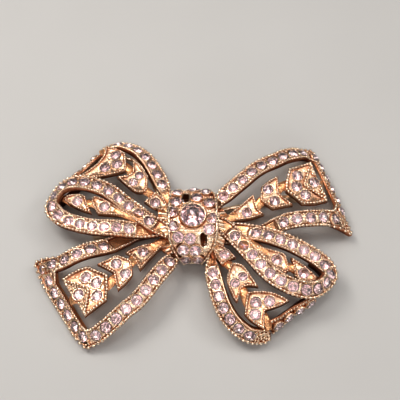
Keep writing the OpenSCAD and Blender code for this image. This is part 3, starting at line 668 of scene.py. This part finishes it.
def leaf(shape, glass, rng, row, scale, found, style, rows=(), grains=False):
    """Leaf with a beaded rim round a hollowed face; the plate slopes as in the solids.

    Rows of beads cross its face, and grains fill the field under the first row."""
    scale, high = scale[:2], scale[2]
    outline = even_outline(soft_outline(row[0] * scale))
    if not runs_left(outline):
        outline = outline[::-1]
    spots, r = row[1] * scale, STONE_R * row[5]
    seat_r = r + GAP

    def lift(p):
        return row[2] * high - row[3] * (p[:, 0] - spots[0, 0]) + row[4] * (p[:, 1] - spots[0, 1])
    inward = left_of(np.roll(outline, -1, 0) - np.roll(outline, 1, 0))
    inside = []
    for d in (0.1, 0.22, 0.32, 0.42):
        q = outline + inward * d
        inside.append(q[(far_from(q, outline) > 0.97 * d) & within(q, outline)])
    net = lattice(*[np.arange(a.min(), a.max(), LEAF_STEP) for a in outline.T])
    net = net[within(net, outline) & (far_from(net, outline) > 0.5)]
    inside = np.vstack([*inside, net])
    inside = inside[nearest(inside, spots) > seat_r + 0.05]
    flat, faces = fill(outline, [circle(s, seat_r) for s in spots], inside)
    d, gap = far_from(flat, outline), nearest(flat, spots)
    at_seat = gap < seat_r + 0.02
    height = np.interp(d, [0, 0.1, 0.22, 0.32, 0.42, 1.0, 1.6],
                       [RIM - 0.15, RIM, RIM, 0.0, -0.10, -0.25, -0.35])
    height = np.where(at_seat, -0.12, height)
    # Painted shade on the face: darkest in the hollow just inside the rim, lighter further in, with
    # a random mottle added; painted orange light lies just inside the rim
    tone = np.interp(d, [0.22, 0.36, 0.6], [0.6, 0.85, 0.48 if len(rows) else 0.36])
    tone = np.where(at_seat, 0.4, tone)
    painted_orange_amount = np.interp(d, [0.2, 0.34, 0.55, 0.95], [0.0, 0.28, 0.2, 0.0])
    rough = np.random.default_rng(9).uniform(-1, 1, (2, len(flat)))
    rough *= (d > 0.3) & (gap > seat_r + 0.05)
    height, tone = height + 0.035 * rough[0], tone + 0.22 * rough[1]
    shape.add(np.column_stack([flat, lift(flat) + height]), faces, tone, painted_orange_amount)

    base, foot, edge = (
        np.column_stack([outline + inward * shift, lift(outline) + RIM - drop])
        for shift, drop in ((0.12, LEAF_T + 0.25), (0, LEAF_T), (0, 0.15)))
    # Painted shade on the leaf's edge: darkest at the foot, light at the top, and the underside
    # painted darker too
    shape.grid(np.stack([base, foot, edge]), True, np.array([[1.0], [0.85], [0.25]]))
    shape.add(base, [tuple(range(len(base) - 1, -1, -1))], 0.4)
    line = outline + inward * 0.17
    line = line[far_from(line, outline) > 0.15]
    bead_line(shape, np.vstack([line, line[:1]]), lambda q: lift(q) + RIM - 0.03, style,
              spots, r + 0.3)
    if grains:
        field = np.vstack([rows[0], [[0.82, 0.78], [0.90, 0.45]]]) * scale
        dots = net[within(net, field)][::2]
        dots = dots[(far_from(dots, field) > 0.4) & (nearest(dots, spots) > r + 0.4)]
        beads(shape, np.column_stack([dots, lift(dots) - 0.16]), 0.24, 0.0, UP)
    for extra in rows:
        bead_line(shape, extra * scale, lambda q: lift(q) - 0.04, BOLD, spots, r + 0.4)
    normal = unit(np.array([row[3], -row[4], 1.0]))
    side = unit(np.cross([0, 1, 0], normal))
    for p in np.column_stack([spots, lift(spots)]):
        seat(shape, p, side, normal, row[5])
        set_by_hand(glass, p, side, normal, row[5], rng)
        found.append((p, row[5]))


def sunk(points, found, r):
    """Points of a stem pushed down where it passes under stones."""
    out = np.array(points, float)
    for p, share in found:
        gap = np.linalg.norm(out[:, :2] - p[:2], axis=1)
        deep = np.interp(gap, [1.2 * share + 0.2, 1.2 * share + 1.0], [1, 0])
        low = p[2] - 0.95 - r
        out[:, 2] = np.where(out[:, 2] > low, out[:, 2] * (1 - deep) + low * deep, out[:, 2])
    return out


def plate(shape, outline, pleats, scale, share):
    """Flat plate between the roots of the bands, with pleats that run from the knot."""
    high = share * scale[2]
    outline = even_outline(soft_outline(outline * scale[:2]), 0.6)
    flat, faces = fill(outline, [], np.zeros((0, 2)))
    if runs_left(outline):
        faces = faces[:, ::-1]
    # Plate and its sides carry a middling painted shade and painted orange light
    shape.add(np.column_stack([flat, np.full(len(flat), high)]), faces, 0.6, 0.5)
    top = np.column_stack([outline, np.full(len(outline), high)])
    shape.grid(np.stack([top - [0, 0, ROOT_T], top]), True, 0.6, (True, False), 0.5)
    t = np.linspace(0, 1, 7)[:, None]
    taper = 0.55 * np.interp(t[:, 0], [0, 0.8, 0.94, 1], [1, 1, 0.85, 0.6])
    for start, end in pleats * scale[:2]:
        line = np.hstack([start * (1 - t) + end * t, high - 0.25 + 0.12 * np.sin(pi * t)])
        # Pleats carry less painted shade than the plate, so they read as lit folds
        tube(shape, line, taper, 0.2, 12)


def far_wall(shape):
    """Plain upright wall under a loop's far end, with a rounded top edge."""
    points = smooth(FOLD_ROWS * LOOP, 6) - [0, 0, 0.8]
    out, half = left_of(np.gradient(points[:, :2], axis=0)), 0.25 * FOLD_T
    # Section: share of the half thickness, share of the height and what is added to it
    rings = [np.column_stack([points[:, :2] + out * x * half, points[:, 2] * f + extra])
             for x, f, extra in ((-1, 0, 0.02), (-1, 1, -0.3), (-0.6, 1, -0.05), (0, 1, 0),
                                 (0.6, 1, -0.05), (1, 1, -0.3), (1, 0, 0.02))]
    # The wall is painted at the darkest painted shade all over
    shape.grid(np.stack(rings, 1), True, 1.0, (True, True))


def loop_pieces(seed, left):
    """Casting and stones of a loop, drawn for the left one before it is turned."""
    metal, glass, found = Shape(), Shape(), []
    rng = np.random.default_rng(seed)
    for rows, runs, coarse, raised, thick, styles, grains in (
            (OUTER_ROWS, OUTER_RUNS, 2, 0, BAND_T, (None, COARSE), (0.86, 1)),
            (TURN_ROWS, TURN_RUNS, 1, 0.45, 0.5 * BAND_T, (MEDIUM, MEDIUM), None),
            (INNER_ROWS, INNER_RUNS, 2, 0, BAND_T, (MEDIUM, COARSE), None)):
        chain = band_frames(rows, LOOP)
        stones = stone_runs(chain, band_frames(rows, LOOP, coarse), runs)
        if rows is OUTER_ROWS:
            chain = round_end(chain, 1.9)
        band(metal, glass, rng, chain, stones, styles, raised, thick, grains)
    for row in LOOP_LEAVES[:2] + [LEFT_LEAF if left else LAST] + EYE_LEAVES:
        leaf(metal, glass, rng, row, LOOP, found, THIN)
    far_wall(metal)
    tube(metal, smooth(WIRE_ROWS * LOOP, 5), 0.36 * STEM_D)
    for rows in (LOOP_STEM, EYE_STEM):
        line = smooth(rows * LOOP, 7) + [0, 0, 0.35]
        r = STEM_D * np.interp(np.arange(len(line)), [0.8 * len(line), len(line)], [0.8, 0.5])
        tube(metal, sunk(line, found, 0.44), r, 0.3, 12, 0.5)
    plate(metal, LOOP_ROOT, LOOP_PLEATS, LOOP, LOOP_ROOT_HIGH)
    return metal, glass


def tail_pieces(seed, left):
    """Casting and stones of a tail, drawn for the left one before it is turned."""
    metal, glass, found = Shape(), Shape(), []
    rng = np.random.default_rng(seed)
    lean = LEFT_LEAN if left else RIGHT_LEAN
    chains = tail_bands(lean)
    # One more small stone fills the corner where the left ribbon curls down
    corner = chains[1].place([CORNER_RUN], CORNER_SIDE, -0.1) if left else ()
    for p in corner:
        up = unit(chains[0].ups[-1] + chains[1].ups[2])
        side = square_to(chains[1].spot(CORNER_RUN)[1], up)
        cup(metal, p, side, up, 0.1, CLAW_TURN, 0.2, CORNER_SHARE * STONE_R, 0.14)
        brilliant(glass, p + up * 0.1, side, up, 2 * STONE_R * CORNER_SHARE, 0.3)
    for chain, coarse, runs, grains, painted_orange_amount in zip(
            chains, tail_bands(lean, 2), TAIL_RUNS, ((0.9, 1), (0, 1), (0, 0.1)), (0, 0.9, 0)):
        stones = stone_runs(chain, coarse, runs)
        # The right tail's end band is steep, so its stones stand up in cups
        raised, thick = (0.3, 0.6 * BAND_T) if painted_orange_amount and not left else (0.0, BAND_T)
        band(metal, glass, rng, chain, stones, (MEDIUM, COARSE), raised, thick, grains, painted_orange_amount,
             corner)
    for row, style, rows in zip(TAIL_LEAVES, (THIN, THIN, BOLD), ((), (), BUD_ROWS)):
        leaf(metal, glass, rng, row, TAIL, found, style, rows, left and len(rows) > 0)
    r = 0.9 * STEM_D
    line = smooth(TAIL_STEM * TAIL, 7) + [0, 0, 0.35]
    tube(metal, sunk(line, found, 0.4 * r), r, 0.3, 12, 0.4)
    plate(metal, TAIL_ROOT, TAIL_PLEATS, TAIL, TAIL_ROOT_HIGH)
    return metal, glass


# ---- knot
def knot_chain():
    half = [[0, r[0] * KNOT_L / 2, r[1] * KNOT_H, r[2]] for r in KNOT_ROWS]
    fine = smooth(half + [[0, -r[1], r[2], r[3]] for r in half[-2::-1]], FINE)
    points, ahead = fine[:, :3], headings(fine[:, :3])
    ups = unit(np.stack([np.zeros(len(ahead)), ahead[:, 2], -ahead[:, 1]], 1))
    return Chain(points, np.tile([-1.0, 0, 0], (len(points), 1)), ups, fine[:, 3])


def on_strap(chain, a, b):
    """Run and place across on the strap's upper part, for shares of the knot's half sizes.

    The strap narrows towards its ends, so the place across is taken over the width share."""
    y = chain.points[:, 1]
    upper = np.where(chain.points[:, 2] > 0.44 * KNOT_H)[0]
    order = upper[np.argsort(y[upper])]
    s = np.interp(b * KNOT_L / 2, y[order], chain.run[order])
    return np.array([s, -a * KNOT_W / 2 / chain.spot(s)[3]])


def slot_outline(chain, start, end, share):
    """Outline of a pierced slot with round ends."""
    a0, a1 = on_strap(chain, *start), on_strap(chain, *end)
    d = unit(a1 - a0)
    turn = np.linspace(-pi / 2, pi / 2, 9)[:, None]
    bow = share * KNOT_W / 2 * (np.cos(turn) * d + np.sin(turn) * np.array([-d[1], d[0]]))
    return np.vstack([a1 + bow, a0 - bow])


def skin(p):
    """Height of the strap's plate, which falls towards its edges."""
    across = np.abs(p[:, 1]) / (KNOT_W / 2)
    return np.interp(across, [0, 0.45, 0.75, STRAP_SHARE], [0.02, 0.0, -0.14, -0.25])


def knot_pieces():
    metal, glass, centre = Shape(), Shape(), Shape()
    chain, rng, half = knot_chain(), np.random.default_rng(5), KNOT_W / 2
    length, lim = chain.length, STRAP_SHARE * half
    runs = np.linspace(0, length, 90)
    local = [on_strap(chain, a, b) for a, b in KNOT_STONES]
    holes = [circle(c, KNOT_R + 0.08, w=chain.spot(c[0])[3]) for c in local]
    slots = [slot_outline(chain, *slot) for slot in KNOT_SLOTS]
    bezel = circle([length / 2, 0], CENTRE_D / 2 + 0.3, 32)
    openings = holes + slots + [bezel]
    inside = clear_of(lattice(np.arange(0.3, length - 0.2, KNOT_STEP),
                              np.linspace(-lim, lim, 25)[1:-1]), openings, 0.12)
    flat, faces = fill(strip(runs, lim), openings, inside)
    near = np.min([far_from(flat, h) for h in holes + [bezel]], 0)
    # Painted shade darkens the strap next to the stones' holes and the bezel
    metal.add(chain.place(*flat.T, skin(flat) + rng.uniform(-0.05, 0.05, len(flat))), faces,
              np.interp(near, [0, 0.12, 0.4], [1.0, 0.5, 0.05]))
    # Grains between the settings
    spots = lattice(np.arange(0.5, length - 0.4, 0.5), np.arange(-0.82 * half, 0.83 * half, 0.46))
    spots += rng.uniform(-0.1, 0.1, spots.shape)
    spots = clear_of(clear_of(spots, holes, 0.2), slots + [bezel], 0.28)
    beads(metal, chain.place(*spots.T, skin(spots) + 0.02),
          rng.uniform(0.14, 0.22, len(spots)), 0.1, chain.at(spots[:, 0])[2])
    # Raised edges with a row of beads; painted shade is darkest at their foot, lightest on their
    # crest, and a little darker beside one side's crest than the other's
    x, h = np.array([(0.87, -0.25), (0.88, 0.14), (0.905, 0.36), (0.935, 0.42), (0.97, 0.34),
                     (1, 0.1), (1, -KNOT_T)]).T
    marks = np.arange(0.4, length - 0.3, 0.7)
    for sign, dark in ((1, 0.1), (-1, 0)):
        rings = chain.sweep(sign * half * x * chain.widths[:, None], h)
        edge_painted_shade = np.array([1.0, 0.35, dark, 0, dark, 0.3, 0.7])
        metal.grid(rings[:, ::sign], False, edge_painted_shade[::sign])
        beads(metal, chain.place(marks, sign * 0.935 * half, 0.27), 0.22, 0.0, chain.at(marks)[2])
    # Inner side, walls and rims of the slots, and the ends; painted shade makes the slots' walls
    # darkest, the inner side and the ends darker, and the rims light
    flat, faces = fill(strip(runs, half), slots, lattice(np.arange(0.6, length - 0.4, 0.6),
                                                         np.linspace(-lim, lim, 9)[1:-1]))
    metal.add(chain.place(*flat.T, -KNOT_T), faces[:, ::-1], 0.8)
    for slot in slots:
        top = chain.place(*slot.T, skin(slot))
        metal.grid(np.stack([top, chain.place(*slot.T, -KNOT_T)]), True, 1.0)
        tube(metal, np.vstack([top, top[:1]]), 0.13, 0.1, 6)
    x, h = half * np.array([-1, 1, 1, -1]), np.array([0.05, 0.05, -KNOT_T, -KNOT_T])
    for end in (0, length):
        metal.add(chain.place([end] * 4, x, h), [(0, 1, 2, 3)], 0.6)
    # Cups with their stones
    for s, x in local:
        p, side, up, w = chain.spot(s)
        p, spin = p + side * x * w, rng.uniform(0, 1.5)
        cup(metal, p, side, up, CUP_H - 0.06, spin, 0.2, KNOT_R, 0.14)
        brilliant(glass, p + up * (CUP_H - 0.05), side, up, 2 * KNOT_R, spin)
    # Bezel and centre stone; the bezel's painted shade is darkest at its foot and in its groove,
    # light on its rims
    r, top = CENTRE_D / 2, KNOT_H * UP
    lathe(metal, top, EAST, UP, 48, [
        (r + 0.5, -0.3, 0.8), (r + 0.44, 0.06, 0.2), (r + 0.36, 0.16, 0), (r + 0.28, 0.1, 0.8),
        (r + 0.25, 0.3, 0.6), (r + 0.23, 0.8, 0.1), (r + 0.17, 0.9, 0), (r + 0.09, 0.88, 0),
        (r + 0.05, 0.7, 0.5), (r + 0.02, 0.4, 0.5), (0.5 * r, -0.9, 0.3)])
    brilliant(centre, top + UP * (BEZEL_H - 0.1), EAST, UP, CENTRE_D, CENTRE_SPIN, 0.16, 0.37)
    return metal, glass, centre


# ---- materials
def node_material(name):
    m = bpy.data.materials.new(name)
    m.use_nodes = True
    return m, m.node_tree, m.node_tree.nodes["Principled BSDF"]


def feed(tree, target, inputs):
    """Give a node's inputs their values, or link them to the outputs of other nodes."""
    for key, value in inputs.items():
        if isinstance(value, bpy.types.NodeSocket):
            tree.links.new(value, target.inputs[key])
        else:
            target.inputs[key].default_value = value


def node(tree, kind, output, inputs, **settings):
    """Add a node and return one of its outputs."""
    new = tree.nodes.new("ShaderNode" + kind)
    for key, value in settings.items():
        setattr(new, key, value)
    feed(tree, new, inputs)
    return new.outputs[output]


def noise(tree, scale, detail=2):
    """Cloudy noise in the piece's own coordinates."""
    place = node(tree, "TexCoord", "Object", {})
    return node(tree, "TexNoise", "Fac", {"Scale": scale, "Detail": detail, "Vector": place})


def ramp(tree, value, *stops):
    """Colours over a value: the first and last stop, then those between."""
    new = tree.nodes.new("ShaderNodeValToRGB")
    elements = new.color_ramp.elements
    for k, (place, colour) in enumerate(stops):
        stop = elements[k] if k < 2 else elements.new(place)
        stop.position, stop.color = place, (*colour, 1)
    feed(tree, new, {"Fac": value})
    return new.outputs["Color"]


def gold_material():
    """Rose gold that painted shade darkens and painted orange light turns redder and less metallic,
    both read from point attributes.
    """
    m, tree, shader = node_material("rose_gold")
    tone = node(tree, "Attribute", "Fac", {}, attribute_name="tone")
    warm = node(tree, "Attribute", "Fac", {}, attribute_name="warm")
    # Painted shade from its attribute, with a random mottle from the noise added
    share = node(tree, "Math", 0, {0: tone, 1: 0.8}, operation="MULTIPLY")
    dark = node(tree, "Math", 0, {0: noise(tree, 520, 4), 1: 0.55, 2: share},
                operation="MULTIPLY_ADD")
    # Colours from the gold's own cream through orange to near black as painted shade deepens
    colour = ramp(tree, dark, (0.22, (1.0, 0.875, 0.71)), (1.0, (0.11, 0.032, 0.016)),
                  (0.55, (0.93, 0.685, 0.495)), (0.8, (0.60, 0.27, 0.15)))
    # Painted orange light, standing in for light thrown back from nearby metal, multiplied into the
    # colour
    colour_with_painted_light = node(tree, "Mix", "Result", {"Factor": warm, "A": colour, "B": (0.96, 0.60, 0.33, 1)},
                data_type="RGBA", blend_type="MULTIPLY")
    # Deep painted shade lowers the metallic weight so the metal reads dark, and painted orange
    # light lowers it a little more
    metallic_after_painted_shade = node(tree, "MapRange", "Result", {"Value": dark, "From Min": 0.75, "From Max": 1.05,
                                             "To Min": 1.0, "To Max": 0.4})
    metallic_after_painted_light = node(tree, "Math", 0, {0: warm, 1: -0.3, 2: metallic_after_painted_shade}, operation="MULTIPLY_ADD")
    rough = node(tree, "MapRange", "Result", {"Value": dark, "To Min": 0.10, "To Max": 0.40})
    bump = node(tree, "Bump", "Normal", {"Strength": 0.6, "Distance": 0.0002,
                                         "Height": noise(tree, 2400)})
    feed(tree, shader, {"Base Color": colour_with_painted_light, "Specular Tint": colour_with_painted_light, "Metallic": metallic_after_painted_light,
                        "Roughness": rough, "Normal": bump})
    return m


def glass_material(name, colour):
    m, tree, shader = node_material(name)
    pale = [min(1, c * k) for c, k in zip(colour, (1.04, 1.1, 1.06))]
    mix = node(tree, "Mix", "Result", {"Factor": noise(tree, 260), "A": (*colour, 1),
                                       "B": (*pale, 1)}, data_type="RGBA")
    feed(tree, shader, {"Transmission Weight": 1.0, "Roughness": 0.0, "IOR": 1.62,
                        "Base Color": mix})
    return m


def foil_material(name, colour, rough):
    m, tree, shader = node_material(name)
    dim = [c * 0.86 for c in colour]
    feed(tree, shader, {"Metallic": 1.0, "Roughness": rough,
                        "Base Color": ramp(tree, noise(tree, 300), (0.3, dim), (0.7, colour))})
    return m


gold = gold_material()
SMALL = [glass_material("crystal", (1.0, 0.955, 0.965)),
         foil_material("crystal_foil", (1.0, 0.84, 0.845), 0.20)]
CENTRE = [glass_material("centre_crystal", (1.0, 0.95, 0.965)),
          foil_material("centre_foil", (1.0, 0.84, 0.86), 0.12)]


def put(shape, name, node, slot, materials, turn=0.0):
    """Turn a shape about the knot and put it in the place of a CAD node."""
    c, s, casting = cos(radians(turn)), sin(radians(turn)), slot == "rose_gold"
    points = np.vstack(shape.points) @ np.array([[c, s, 0], [-s, c, 0], [0, 0, 1]])
    mesh = bpy.data.meshes.new(name)
    mesh.from_pydata(((points - [*BOW_MID, 0]) * MM).tolist(), [], shape.faces)
    mesh.polygons.foreach_set("material_index", shape.slots)
    for m in materials:
        mesh.materials.append(m)
    if casting:
        work = bmesh.new()
        work.from_mesh(mesh)
        bmesh.ops.recalc_face_normals(work, faces=work.faces)
        work.to_mesh(mesh)
        work.free()
    # Painted shade and painted orange light go to the mesh as point attributes
    for key, values in (("tone", shape.tone), ("warm", shape.warm)):
        layer = mesh.attributes.new(key, "FLOAT", "POINT")
        layer.data.foreach_set("value", np.concatenate(values).astype(np.float32))
    mesh.shade_smooth()
    mesh.set_sharp_from_angle(angle=radians(CAST_SHARP if casting else CUT_SHARP))
    mesh.validate()
    piece = linked(name, mesh)
    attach(piece, "root")
    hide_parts(node)


# The right half is the left half turned about the knot
for part, turn, (metal, glass) in (
        ("loop_left", LOOP_DROOP, loop_pieces(11, True)),
        ("loop_right", 180 - LOOP_DROOP, loop_pieces(12, False)),
        ("tail_left", TAIL_DROOP, tail_pieces(21, True)),
        ("tail_right", 180 - TAIL_DROOP, tail_pieces(22, False))):
    put(metal, f"{part}_casting", part, "rose_gold", [gold], turn)
    put(glass, f"{part}_crystals", f"{part}_stones", "crystal", SMALL, turn)
metal, glass, centre = knot_pieces()
put(metal, "knot_setting", "knot", "rose_gold", [gold])
put(glass, "knot_crystals", "knot_stones", "crystal", SMALL)
put(centre, "centre_crystal", "centre_stone", "centre_crystal", CENTRE)

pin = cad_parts["pin_back"]
pin.data.materials.clear()
pin.data.materials.append(gold)


# ---- stage
def floor():
    mesh = bpy.data.meshes.new("floor")
    corners = [(0.6 * x, 0.6 * y, 0) for x, y in ((-1, -1), (1, -1), (1, 1), (-1, 1))]
    mesh.from_pydata(corners, [], [(0, 1, 2, 3)])
    obj = linked("floor", mesh)
    m, tree, shader = node_material("pale_floor")
    cloud = node(tree, "TexNoise", "Fac", {"Scale": 40})
    feed(tree, shader, {"Roughness": 0.6, "Base Color": ramp(
        tree, cloud, (0, (0.58, 0.57, 0.555)), (1, (0.62, 0.61, 0.595)))})
    mesh.materials.append(m)


def turned_to(obj, back):
    """Turn a lamp or camera so that it looks against a direction."""
    obj.rotation_mode = "QUATERNION"
    obj.rotation_quaternion = (-back).to_track_quat("-Z", "Y")


def area_light(name, place, size, power, colour=(1, 1, 1)):
    data = bpy.data.lights.new(name, "AREA")
    data.shape, data.size, data.size_y = "RECTANGLE", *size
    data.energy, data.color = power, colour
    obj = linked(name, data)
    obj.location = place
    turned_to(obj, Vector(place) - Vector((0, 0, 0.003)))


LIGHTS = (
    ("key", (-0.20, 0.14, 0.30), (0.14, 0.14), 0.58, (1.0, 0.97, 0.93)),
    ("strip_left", (-0.06, 0.10, 0.34), (0.05, 0.26), 0.18, (1.0, 0.98, 0.96)),
    ("strip_right", (0.09, 0.10, 0.34), (0.05, 0.26), 0.17, (1.0, 0.98, 0.96)),
    ("right", (0.27, 0.08, 0.26), (0.12, 0.12), 0.20, (1.0, 0.97, 0.94)),
    ("front", (0.0, -0.33, 0.17), (0.50, 0.11), 0.32, (1.0, 0.97, 0.95)),
    ("over_camera", (0.0, -0.15, 0.34), (0.26, 0.10), 0.10, (1.0, 0.98, 0.96)))
floor()
for light in LIGHTS:
    area_light(*light)
# Small far lamps that glint in the stones: turn and height in degrees
for k, (turn, rise) in enumerate(((20, 40), (75, 62), (130, 38), (200, 55), (250, 68), (320, 48))):
    t, e = radians(turn), radians(rise)
    place = [0.36 * v for v in (cos(t) * cos(e), sin(t) * cos(e), sin(e))]
    area_light(f"glint_{k}", place, (0.03, 0.03), 0.045)

world = bpy.data.worlds.new("studio")
world.use_nodes = True
feed(world.node_tree, world.node_tree.nodes["Background"],
     {"Color": (0.9, 0.88, 0.87, 1), "Strength": 0.2})
scene.world = world

# Camera at the photograph's angle: elevation in degrees, distance in millimetres, pixels per
# millimetre, and the pixel of the knot's axis in the square image
ELEVATION, DISTANCE, PX_PER_MM = 66, 150, 4.9
AXIS_PX, IMAGE_PX, SENSOR = (192.8, 234.0), 400, 36
optics = bpy.data.cameras.new("camera")
camera = linked("camera", optics)
aim = -MM * Vector((*BOW_MID, 0))
back = Vector((0, -cos(radians(ELEVATION)), sin(radians(ELEVATION))))
camera.location = aim + back * DISTANCE * MM
turned_to(camera, back)
optics.sensor_width = SENSOR
optics.lens = SENSOR * DISTANCE * PX_PER_MM / IMAGE_PX
optics.shift_x = (IMAGE_PX / 2 - AXIS_PX[0]) / IMAGE_PX
optics.shift_y = (AXIS_PX[1] - IMAGE_PX / 2) / IMAGE_PX
optics.clip_start, optics.clip_end = 0.005, 5
scene.camera = camera
scene.view_settings.view_transform = "Standard"
scene.view_settings.gamma = 0.8

bpy.context.view_layer.update()
